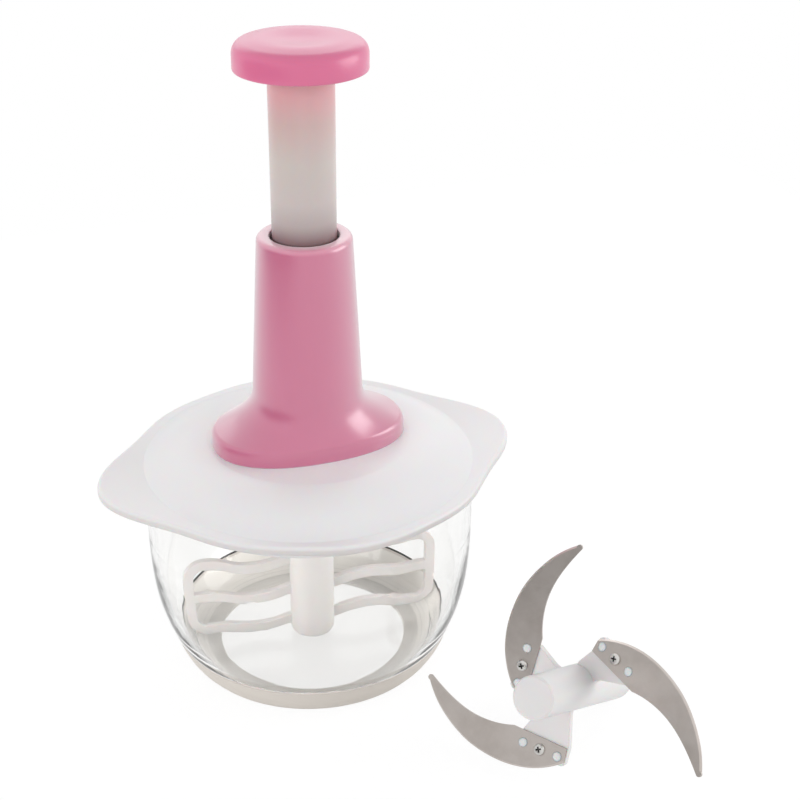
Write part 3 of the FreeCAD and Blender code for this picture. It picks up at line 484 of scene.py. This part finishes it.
def steel_group():
    """Rolled or drawn steel: fine lines along X of the given place, and faint clouds of tarnish."""
    group, given, result = new_group(
        "drawn steel",
        {"Place": None, "Colour": (0.5, 0.5, 0.5, 1), "Tarnish": (0.4, 0.36, 0.33, 1),
         "Line scale": 300.0, "Stretch": 0.03, "Gloss low": 0.29, "Gloss high": 0.40},
        {"Colour": "Color", "Roughness": "Float", "Height": "Float"})
    split = add_node(group, "SeparateXYZ")
    slow = add_node(group, "Math", operation="MULTIPLY")
    along = add_node(group, "CombineXYZ")
    lines = add_node(group, "TexNoise", detail=4.0, roughness=0.7)
    clouds = add_node(group, "TexNoise", scale=70.0, detail=4.0, roughness=0.6)
    gloss = add_node(group, "MapRange", from_min=0.3, from_max=0.7)
    dull = add_node(group, "MapRange", from_min=0.42, from_max=0.75)
    mix = add_node(group, "Mix", data_type="RGBA")
    link = group.links.new
    link(given.outputs["Place"], split.inputs[0])
    link(split.outputs["X"], slow.inputs[0])
    link(given.outputs["Stretch"], slow.inputs[1])
    link(slow.outputs[0], along.inputs["X"])
    link(split.outputs["Y"], along.inputs["Y"])
    link(split.outputs["Z"], along.inputs["Z"])
    link(along.outputs[0], lines.inputs["Vector"])
    link(given.outputs["Line scale"], lines.inputs["Scale"])
    link(given.outputs["Place"], clouds.inputs["Vector"])
    link(lines.outputs["Fac"], gloss.inputs["Value"])
    link(given.outputs["Gloss low"], gloss.inputs["To Min"])
    link(given.outputs["Gloss high"], gloss.inputs["To Max"])
    link(clouds.outputs["Fac"], dull.inputs["Value"])
    link(dull.outputs["Result"], mix.inputs[0])
    link(given.outputs["Colour"], mix.inputs[6])
    link(given.outputs["Tarnish"], mix.inputs[7])
    link(mix.outputs[2], result.inputs["Colour"])
    link(gloss.outputs["Result"], result.inputs["Roughness"])
    link(lines.outputs["Fac"], result.inputs["Height"])
    return group


DRAWN_STEEL = steel_group()


def steel(name, colour, tarnish, line_scale=3000.0, stretch=0.03, gloss=(0.29, 0.40),
          turn=(0, 0, 0), edge=0.0):
    """Steel with its rolling lines along X after the turn."""
    material = bpy.data.materials.new(name)
    material.use_nodes = True
    tree = material.node_tree
    shader = tree.nodes["Principled BSDF"]
    shader.inputs["Metallic"].default_value = 1.0
    place = add_node(tree, "TexCoord")
    mapping = add_node(tree, "Mapping", rotation=turn)
    grain = place_group(tree, DRAWN_STEEL, Colour=colour, Tarnish=tarnish, Line_scale=line_scale,
                        Stretch=stretch, Gloss_low=gloss[0], Gloss_high=gloss[1])
    bump = add_node(tree, "Bump", strength=0.4, distance=0.000004)
    tree.links.new(place.outputs["Object"], mapping.inputs["Vector"])
    tree.links.new(mapping.outputs[0], grain.inputs["Place"])
    tree.links.new(grain.outputs["Colour"], shader.inputs["Base Color"])
    tree.links.new(grain.outputs["Roughness"], shader.inputs["Roughness"])
    tree.links.new(grain.outputs["Height"], bump.inputs["Height"])
    tree.links.new(bump.outputs["Normal"], shader.inputs["Normal"])
    if edge:
        corner = place_group(tree, BROKEN_EDGE, Radius=edge)
        tree.links.new(corner.outputs["Normal"], bump.inputs["Normal"])
    return material


washer_steel = steel("bright_steel", (0.62, 0.61, 0.59, 1), (0.50, 0.48, 0.45, 1), edge=0.0001)
cover_with(white_acetal, "spindle_bush")
cover_with(seal_rubber, "spindle_seal")
cover_with(washer_steel, "thrust_washer")


# ------------------------------------------------------------------------------------------------
# Rotor: a grey nylon clutch hub moulded round the white drive spindle. It hangs in the bush, and
# the spindle's keys carry either the paddle or the blade set.
GREY_NYLON = (0.34, 0.34, 0.33, 1)
# Its paler edge colour is a painted highlight along broken edges.
grey_nylon = moulded("grey_nylon", GREY_NYLON, drift=0.10, cloud=90.0, gloss=(0.32, 0.5),
                     grain=2200.0, depth=0.00001, edge=0.0002, painted_edge_colour=(0.45, 0.45, 0.44, 1))
cover_with(grey_nylon, "clutch_hub", "clutch_driver")
cover_with(white_acetal, "drive_spindle")


# ------------------------------------------------------------------------------------------------
# Paddle: one moulding in warm white plastic, a long hub with two open wings of wavy bars. It is
# pushed on to the spindle from below.
WARM_WHITE = (0.67, 0.645, 0.63, 1)
# Its paler edge colour is a painted highlight along broken edges.
paddle_white = moulded("warm_white_plastic", WARM_WHITE, drift=0.05, cloud=45.0,
                       gloss=(0.3, 0.45), grain=350.0, depth=0.00001, edge=0.0007,
                       painted_edge_colour=(0.72, 0.70, 0.69, 1),
                       Subsurface_Weight=0.25, Subsurface_Scale=0.003, IOR=1.49)
cover_with(paddle_white, "paddle")


# ------------------------------------------------------------------------------------------------
# Drive: the twisted steel rod, drawn flat and then twisted, with the clutch driver fixed on its
# shank and a flat white seat on its tip for the spring.
rod_steel = steel("twisted_rod_steel", (0.60, 0.59, 0.57, 1), (0.46, 0.44, 0.41, 1),
                  stretch=0.6, gloss=(0.16, 0.26), edge=0.0002)
cover_with(rod_steel, "spiral_rod")
cover_with(white_acetal, "spring_seat")


# ------------------------------------------------------------------------------------------------
# Mechanism cover: a white disc over the clutch, held by three small steel screws. Four screws of
# the same steel go up through the lid into the sleeve's foot.
cover_with(white_acetal, "mechanism_cover")
cover_with(washer_steel, "cover_screws", "sleeve_screws")


# ------------------------------------------------------------------------------------------------
# Return spring: steel wire coiled cold in nine even turns and cut off square at both ends. It
# stands on the rod's seat, pushes up the knob, and closes as the plunger goes down.
SPRING_RADIUS = 0.0087
WIRE_RADIUS = 0.00065
SPRING_FOOT = 0.18925           # height of the wire's middle at the lower end
SPRING_HEIGHT = 0.0740
SPRING_TURNS = 9


def coil_spring():
    bpy.ops.object.select_all(action="DESELECT")
    bpy.ops.mesh.primitive_circle_add(vertices=14, radius=WIRE_RADIUS,
                                      location=(SPRING_RADIUS, 0, SPRING_FOOT),
                                      rotation=(math.pi / 2, 0, 0))
    spring = bpy.context.object
    spring.name = "coiled_return_spring"
    bpy.ops.object.transform_apply(location=True, rotation=True)
    coil = spring.modifiers.new("coil", "SCREW")
    coil.axis = "Z"
    coil.angle = 2 * math.pi
    coil.steps = coil.render_steps = 40
    coil.iterations = SPRING_TURNS
    coil.screw_offset = SPRING_HEIGHT / SPRING_TURNS
    coil.use_merge_vertices = True
    bpy.ops.object.modifier_apply(modifier=coil.name)
    edit(spring)
    bpy.ops.mesh.select_all(action="DESELECT")
    bpy.ops.mesh.select_mode(type="EDGE")
    bpy.ops.mesh.select_non_manifold()
    bpy.ops.mesh.edge_face_add()
    finish_edit()
    smooth(spring, 50)
    return spring


spring = coil_spring()
spring_steel = steel("spring_wire", (0.58, 0.57, 0.55, 1), (0.42, 0.40, 0.37, 1),
                     stretch=0.5, gloss=(0.16, 0.26))
spring.data.materials.append(spring_steel)
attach(spring, "lid")
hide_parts("return_spring")
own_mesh(spring)


# ------------------------------------------------------------------------------------------------
# Plunger: a milky tube with a keyed flange, the white nut plugged into its lower end, and the pink
# palm knob pushed on its top. The tube is darker grey at the sleeve's mouth, pinker at the knob.
PINK = (0.73, 0.165, 0.315, 1)
# Paler pink painted along the knob's broken edges: a painted highlight.
PINK_EDGE_HIGHLIGHT = (0.76, 0.27, 0.40, 1)
PINK_MOULDING = dict(drift=0.05, cloud=35.0, gloss=(0.29, 0.37), grain=320.0, depth=0.00001,
                     edge=0.0010, Subsurface_Weight=0.12, Subsurface_Scale=0.003, IOR=1.49)
TUBE_MILK = (0.60, 0.52, 0.49, 1)
TUBE_LOW = 0.190
TUBE_HIGH = 0.262
TUBE_HEIGHT_COLOURS = (   # share of the way up, colour: darker grey at the sleeve, pinker towards the knob
    (0.0, (0.255, 0.16, 0.165, 1)), (0.09, (0.285, 0.195, 0.20, 1)),
    (0.18, (0.49, 0.425, 0.415, 1)), (0.30, (0.60, 0.53, 0.515, 1)),
    (0.52, (0.62, 0.55, 0.52, 1)), (0.74, (0.64, 0.465, 0.45, 1)),
    (0.89, (0.75, 0.42, 0.44, 1)), (1.0, (0.77, 0.39, 0.42, 1)))

pink_plastic = moulded("pink_plastic", PINK, painted_edge_colour=PINK_EDGE_HIGHLIGHT, **PINK_MOULDING,
                       Coat_Weight=0.22, Coat_IOR=1.6, Coat_Roughness=0.22,
                       Sheen_Weight=0.1, Sheen_Roughness=0.3)


def tube_plastic():
    material = moulded("milky_tube", TUBE_MILK, drift=0.04, cloud=50.0, gloss=(0.29, 0.35),
                       grain=320.0, depth=0.000005,
                       Subsurface_Weight=0.3, Subsurface_Scale=0.004, IOR=1.49)
    tree = material.node_tree
    shader = tree.nodes["Principled BSDF"]
    skin = shader.inputs["Base Color"].links[0].from_node
    height_colours = add_node(tree, "ValToRGB")
    ramp = height_colours.color_ramp.elements
    while len(ramp) < len(TUBE_HEIGHT_COLOURS):
        ramp.new(0.5)
    for stop, (share, colour) in zip(ramp, TUBE_HEIGHT_COLOURS):
        stop.position = share
        stop.color = colour
    tree.links.new(share_of_height(tree, TUBE_LOW, TUBE_HIGH), height_colours.inputs["Fac"])
    tree.links.new(height_colours.outputs["Color"], skin.inputs["Colour"])
    return material


cover_with(tube_plastic(), "plunger_tube")
cover_with(white_acetal, "drive_nut")

# Millimetres from here to the end of the sleeve.
KNOB_RADIUS = 26.1
KNOB_BOTTOM = 262.1
KNOB_ROUND = (21.5, 268.6, 4.5)     # the rounded edge: radius and height of its middle, own radius
KNOB_CROWN = (   # radius and height, from the rounded edge in to the hollow at the middle
    (19.5, 273.5), (17.5, 273.78), (15.5, 273.9), (13.5, 273.86), (11.0, 273.7), (8.0, 273.4),
    (5.5, 273.15), (2.5, 273.03), (0, 273.0))
KNOB_CORE_INSET = 1.2
KNOB_SKIN = 1.5
AROUND = 160


def roll_up(name, rings):
    """A sheet rolled into a tube and shaped ring by ring. A ring is half its length, half its
    width, the power of its oval (2 is an ellipse), and its height."""
    bpy.ops.object.select_all(action="DESELECT")
    bpy.ops.mesh.primitive_grid_add(x_subdivisions=AROUND, y_subdivisions=len(rings) - 1, size=0.1)
    shell = bpy.context.object
    shell.name = name
    for index, vertex in enumerate(shell.data.vertices):
        row, step = divmod(index, AROUND + 1)
        long, short, power, height = rings[row]
        cosine, sine = (f(2 * math.pi * step / AROUND) for f in (math.cos, math.sin))
        vertex.co = (math.copysign(long * abs(cosine) ** (2 / power), cosine) / 1000,
                     math.copysign(short * abs(sine) ** (2 / power), sine) / 1000, height / 1000)
    edit(shell)
    finish_edit()
    return shell


def combine(piece, other, operation):
    bpy.ops.object.select_all(action="DESELECT")
    bpy.context.view_layer.objects.active = piece
    piece.select_set(True)
    step = piece.modifiers.new("combine", "BOOLEAN")
    step.operation = operation
    step.object = other
    bpy.ops.object.modifier_apply(modifier=step.name)
    bpy.data.objects.remove(other)


def put_skin_on(node, name, core, skin):
    """The moulding's ribs and bosses, as far as the core reaches, under a new outer skin."""
    piece = bpy.data.objects.new(name, cad[node].data.copy())
    bpy.context.collection.objects.link(piece)
    piece.data.materials.clear()
    edit(piece)
    finish_edit()
    combine(piece, roll_up("core", core), "INTERSECT")
    combine(piece, roll_up("skin", skin), "UNION")
    edit(piece)
    finish_edit()
    smooth(piece, 30)
    return piece


def all_round(rings):
    """Round rings for roll_up, from radius and height."""
    return [(r, r, 2, z) for r, z in rings]


def knob_rings(inward):
    """Up the side, round the edge and over the crown, this far under the surface."""
    middle, height, radius = KNOB_ROUND
    rings = [(KNOB_RADIUS - inward, height)]
    for step in range(1, 9):
        turn = math.radians(step * 10.5)
        rings.append((middle + (radius - inward) * math.cos(turn),
                      height + (radius - inward) * math.sin(turn)))
    return rings + [(r, z - inward) for r, z in KNOB_CROWN]


def make_knob():
    """The core comes out below the skin. The skin's lower edge is rounded a little."""
    core = [(0, KNOB_BOTTOM - 2), (KNOB_RADIUS - KNOB_CORE_INSET, KNOB_BOTTOM - 2)]
    inner_edge = KNOB_RADIUS - KNOB_SKIN, KNOB_BOTTOM
    low_edge = [inner_edge, (25.55, KNOB_BOTTOM), (26.0, KNOB_BOTTOM + 0.2),
                (KNOB_RADIUS, KNOB_BOTTOM + 0.6)]
    skin = low_edge + knob_rings(0) + knob_rings(KNOB_SKIN)[::-1] + [inner_edge]
    return put_skin_on("plunger_knob", "palm_knob",
                       all_round(core + knob_rings(KNOB_CORE_INSET)), all_round(skin))


knob = make_knob()
knob.data.materials.append(pink_plastic)
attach(knob, "plunger")
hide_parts("plunger_knob")


# ------------------------------------------------------------------------------------------------
# Sleeve: a pink cone moulded with its oval foot, screwed to the lid from below. A white bearing
# ring sits in its mouth and guides the tube. Its lip is painted paler: a painted highlight.
SLEEVE_PINK = (0.575, 0.130, 0.248, 1)
# Painted highlights: the paler pink along broken edges and on the lip.
SLEEVE_PINK_EDGE_HIGHLIGHT = (0.72, 0.30, 0.41, 1)
SLEEVE_LIP_HIGHLIGHT_PINK = (0.72, 0.26, 0.38, 1)
sleeve_plastic = moulded("sleeve_pink_plastic", SLEEVE_PINK, painted_edge_colour=SLEEVE_PINK_EDGE_HIGHLIGHT,
                         **PINK_MOULDING, Coat_Weight=0.9, Coat_IOR=1.8, Coat_Roughness=0.265,
                         Sheen_Weight=1.0, Sheen_Roughness=0.48)
tint_between(sleeve_plastic, 0.1930, 0.1950, SLEEVE_LIP_HIGHLIGHT_PINK)
cover_with(white_acetal, "guide_bush")

LID_TOP = 104.9
RIM_HEIGHT = 7.4
SLEEVE_TOP = 195.4
MOUTH_RADIUS = 19.3
FOOT_REACH = (41.0, 26.5)     # half length and half width of the oval foot, at the top of its rim
FOOT_POWER = 0.3              # how much squarer than an ellipse the foot is
RIM_ROUND = (4.6, 2.8)        # the rim's rounded edge: where it starts, and its radius
FLARE_TOP = 24.0              # the flare: its top, how it rises, its steps and its mean width
FLARE_POWER = 2.7
FLARE_STEPS = (0.01, 0.03, 0.06, 0.1, 0.15, 0.2, 0.26, 0.33, 0.41, 0.5, 0.6, 0.7, 0.8, 0.9, 1)
FLARE_WIDTH = 17.5
CONE_STEPS = (35, 50, 65, 80, 88.1)
CONE_TAPER = 0.05387
RIM_TAPER = 0.05
LIP_RADIUS = 2.3
WALL_TOP = 18.1               # the same for the flare inside the wall
WALL_POWER = 2.3
WALL_STEPS = (0.06, 0.14, 0.25, 0.39, 0.56, 0.77, 1)
MOUTH = (   # inside the mouth, down to the bush's seat: radius, and how far below the top
    (14.8, 0.0), (14.4, 0.08), (14.15, 0.3), (14.05, 0.7), (14.05, 3.0), (15.5, 3.0),
    (15.5, 1.7), (17.2, 1.7))
SLEEVE_CORE_INSET = 1.35
SLEEVE_CORE_DROP = 0.7
SLEEVE_CORE_BOTTOM = 0.04     # not in one plane with the bottom of the skin
SLEEVE_SKIN = 1.7
SLEEVE_SKIN_DROP = 0.95


def sleeve_ring(share, height, inward=0.0, down=0.0):
    """Outline a share of the way in from the foot's rim to the cone, at a height over the lid."""
    taper = CONE_TAPER * (SLEEVE_TOP - LID_TOP - max(height, RIM_HEIGHT))
    draft = RIM_TAPER * max(0.0, RIM_HEIGHT - height) if share == 0 else 0.0
    flare = 1 - share
    long, short = (MOUTH_RADIUS + taper + (reach - MOUTH_RADIUS - taper) * flare + draft - inward
                   for reach in FOOT_REACH)
    return long, short, 2 + FOOT_POWER * flare, LID_TOP + height - down * flare


def outer_rings():
    """Up the rim, over its rounded edge, along the flare and the cone, and round the lip."""
    edge, radius = RIM_ROUND
    width = radius / FLARE_WIDTH
    rings = [sleeve_ring(0, 0), sleeve_ring(0, 2.5), sleeve_ring(0, edge)]
    for step in range(1, 8):
        turn = math.radians(step * 11)
        share, height = width * (1 - math.cos(turn)), edge + radius * math.sin(turn)
        rings.append(sleeve_ring(share, height))
    for rise in FLARE_STEPS:
        risen = 1 - (1 - rise) ** FLARE_POWER
        rings.append(sleeve_ring(share + (1 - share) * risen, height + (FLARE_TOP - height) * rise))
    rings += [sleeve_ring(1, height) for height in CONE_STEPS]
    middle = sleeve_ring(1, SLEEVE_TOP - LID_TOP - LIP_RADIUS)[0] - LIP_RADIUS
    lip = []
    for turn in (math.radians(15 * step) for step in range(1, 7)):
        lip.append((middle + LIP_RADIUS * math.sin(math.pi / 2 - turn),
                    SLEEVE_TOP - LIP_RADIUS * (1 - math.sin(turn))))
    return rings + all_round(lip)


def wall_rings(inward, down):
    """The same way up inside the wall, this far in from the moulding's surface."""
    rings = [sleeve_ring(0, RIM_HEIGHT, inward, down)]
    for rise in WALL_STEPS:
        height = RIM_HEIGHT + (WALL_TOP - RIM_HEIGHT) * rise
        rings.append(sleeve_ring(1 - (1 - rise) ** WALL_POWER, height, inward, down))
    return rings


def make_sleeve():
    inset, skin_inset = SLEEVE_CORE_INSET, SLEEVE_SKIN
    core = [(0, 0, 2, LID_TOP + SLEEVE_CORE_BOTTOM), sleeve_ring(0, SLEEVE_CORE_BOTTOM, inset)]
    core += wall_rings(inset, SLEEVE_CORE_DROP)
    core += [sleeve_ring(1, 88.0, inset), sleeve_ring(1, 89.15, inset),
             (0, 0, 2, SLEEVE_TOP - inset)]
    skin = outer_rings() + all_round([(r, SLEEVE_TOP - low) for r, low in MOUTH])
    skin += [sleeve_ring(1, 87.5, skin_inset)] + wall_rings(skin_inset, SLEEVE_SKIN_DROP)[::-1]
    skin += [sleeve_ring(0, 0, skin_inset), sleeve_ring(0, 0)]
    return put_skin_on("sleeve", "flared_sleeve", core, skin)


sleeve = make_sleeve()
sleeve.data.materials.append(sleeve_plastic)
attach(sleeve, "lid")
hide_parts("sleeve")


# ------------------------------------------------------------------------------------------------
# Blade set: a white moulded hub with three arms. Each blade is stamped from spring steel, ground
# along its outer curve, and held on its arm by two staked pins and a small pan head screw.
HUB_WHITE = (0.775, 0.765, 0.765, 1)
# Its paler edge colour is a painted highlight along broken edges.
hub_white = moulded("hub_white_plastic", HUB_WHITE, drift=0.05, cloud=45.0, gloss=(0.3, 0.45),
                    grain=350.0, depth=0.00001, edge=0.0005, painted_edge_colour=(0.80, 0.795, 0.795, 1),
                    Subsurface_Weight=0.3, Subsurface_Scale=0.004, IOR=1.49)
blade_steel = steel("ground_blade_steel", (0.54, 0.495, 0.465, 1), (0.455, 0.41, 0.38, 1),
                    line_scale=2500.0, stretch=0.02, turn=(0.4, 0.3, 0.9))
cover_with(hub_white, "blade_hub")
cover_with(blade_steel, "blade_upper", "blade_middle", "blade_lower")


# ------------------------------------------------------------------------------------------------
# Blade screws: three small steel screws with domed heads and a cross recess, driven through
# the blades into the arms; the recess is painted dark, as painted shade. One is made and copied.
SCREW_SECTION = [   # radius and height in millimetres, from the point of the shank to the crown
    (0.55, -4.55), (1.05, -3.9), (1.1, -3.6), (1.1, -0.05), (2.2, -0.02), (2.33, 0.12),
    (2.35, 0.5), (2.27, 0.82), (2.02, 1.12), (1.6, 1.34), (1.1, 1.46), (0.5, 1.5)]
RECESS = (3.0, 0.85, 1.2)     # length and width of each slot, and its depth, in millimetres
PAINTED_SHADE_REACH = (0.00152, 0.0002, 0.00128)     # where the painted shade goes: the recess's radius, and its lowest and highest face
SCREW_PLACES = {   # seat, and turn from +Z as a quaternion
    "blade_upper": ((0.060465, -0.092427, 0.032713), (0.67668, 0.10042, -0.57908, 0.44350)),
    "blade_lower": ((0.090631, -0.114621, 0.043505), (0.78109, 0.36822, -0.33002, -0.38132)),
    "blade_middle": ((0.057481, -0.117514, 0.009402), (0.19717, -0.31414, -0.35590, 0.85777)),
}


def cut_slot(screw, turn):
    """Sinks one tapered slot of the cross recess into the crown."""
    length, width, depth = (v / 1000 for v in RECESS)
    bpy.ops.object.select_all(action="DESELECT")
    bpy.ops.mesh.primitive_cube_add(size=1, location=(0, 0, 0.0015), rotation=(0, 0, turn),
                                    scale=(length, width, 2 * depth))
    cutter = bpy.context.object
    bpy.ops.object.transform_apply(location=True, rotation=True, scale=True)
    edit(cutter)
    bpy.ops.mesh.select_all(action="DESELECT")
    bpy.ops.object.mode_set(mode="OBJECT")
    for face in cutter.data.polygons:
        face.select = face.normal.z < -0.9
    bpy.ops.object.mode_set(mode="EDIT")
    bpy.ops.transform.resize(value=(0.6, 0.6, 1), center_override=(0, 0, 0))
    bpy.ops.object.mode_set(mode="OBJECT")
    combine(screw, cutter, "DIFFERENCE")


def make_screw():
    radius, height = SCREW_SECTION[0]
    bpy.ops.object.select_all(action="DESELECT")
    bpy.ops.mesh.primitive_circle_add(vertices=40, radius=radius / 1000, fill_type="NGON",
                                      location=(0, 0, height / 1000))
    screw = bpy.context.object
    screw.name = "pan_head_screw"
    bpy.ops.object.transform_apply(location=True)
    edit(screw)
    bpy.ops.mesh.select_mode(type="EDGE")
    bpy.ops.mesh.select_all(action="SELECT")
    for r, z in SCREW_SECTION[1:]:
        step_to(r, z, radius, height)
        radius, height = r, z
    bpy.ops.mesh.edge_face_add()
    finish_edit()
    cut_slot(screw, 0)
    cut_slot(screw, math.pi / 2)
    rounding = screw.modifiers.new("rounding", "BEVEL")
    rounding.width = 0.00005
    rounding.segments = 2
    rounding.limit_method = "ANGLE"
    rounding.angle_limit = math.radians(40)
    bpy.ops.object.modifier_apply(modifier=rounding.name)
    smooth(screw, 40)
    return screw


screw = make_screw()
screw.data.materials.append(washer_steel)
screw.data.materials.append(steel("painted_shade_recess_steel", (0.10, 0.095, 0.09, 1), (0.06, 0.055, 0.05, 1)))
# Faces inside the recess get the dark steel: painted shade.
for face in screw.data.polygons:
    reach, lowest, highest = PAINTED_SHADE_REACH
    inside = math.hypot(face.center.x, face.center.y) < reach
    face.material_index = 1 if inside and lowest < face.center.z < highest else 0
for place, turn in SCREW_PLACES.values():
    bpy.ops.object.select_all(action="DESELECT")
    bpy.context.view_layer.objects.active = screw
    screw.select_set(True)
    bpy.ops.object.duplicate()
    copy = bpy.context.object
    copy.name = "blade_screw"
    copy.rotation_mode = "QUATERNION"
    copy.rotation_quaternion = turn
    copy.location = place
    bpy.ops.object.transform_apply(location=True, rotation=True)
    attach(copy, "blade_set")
    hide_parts("blade_screws")
bpy.data.objects.remove(screw)
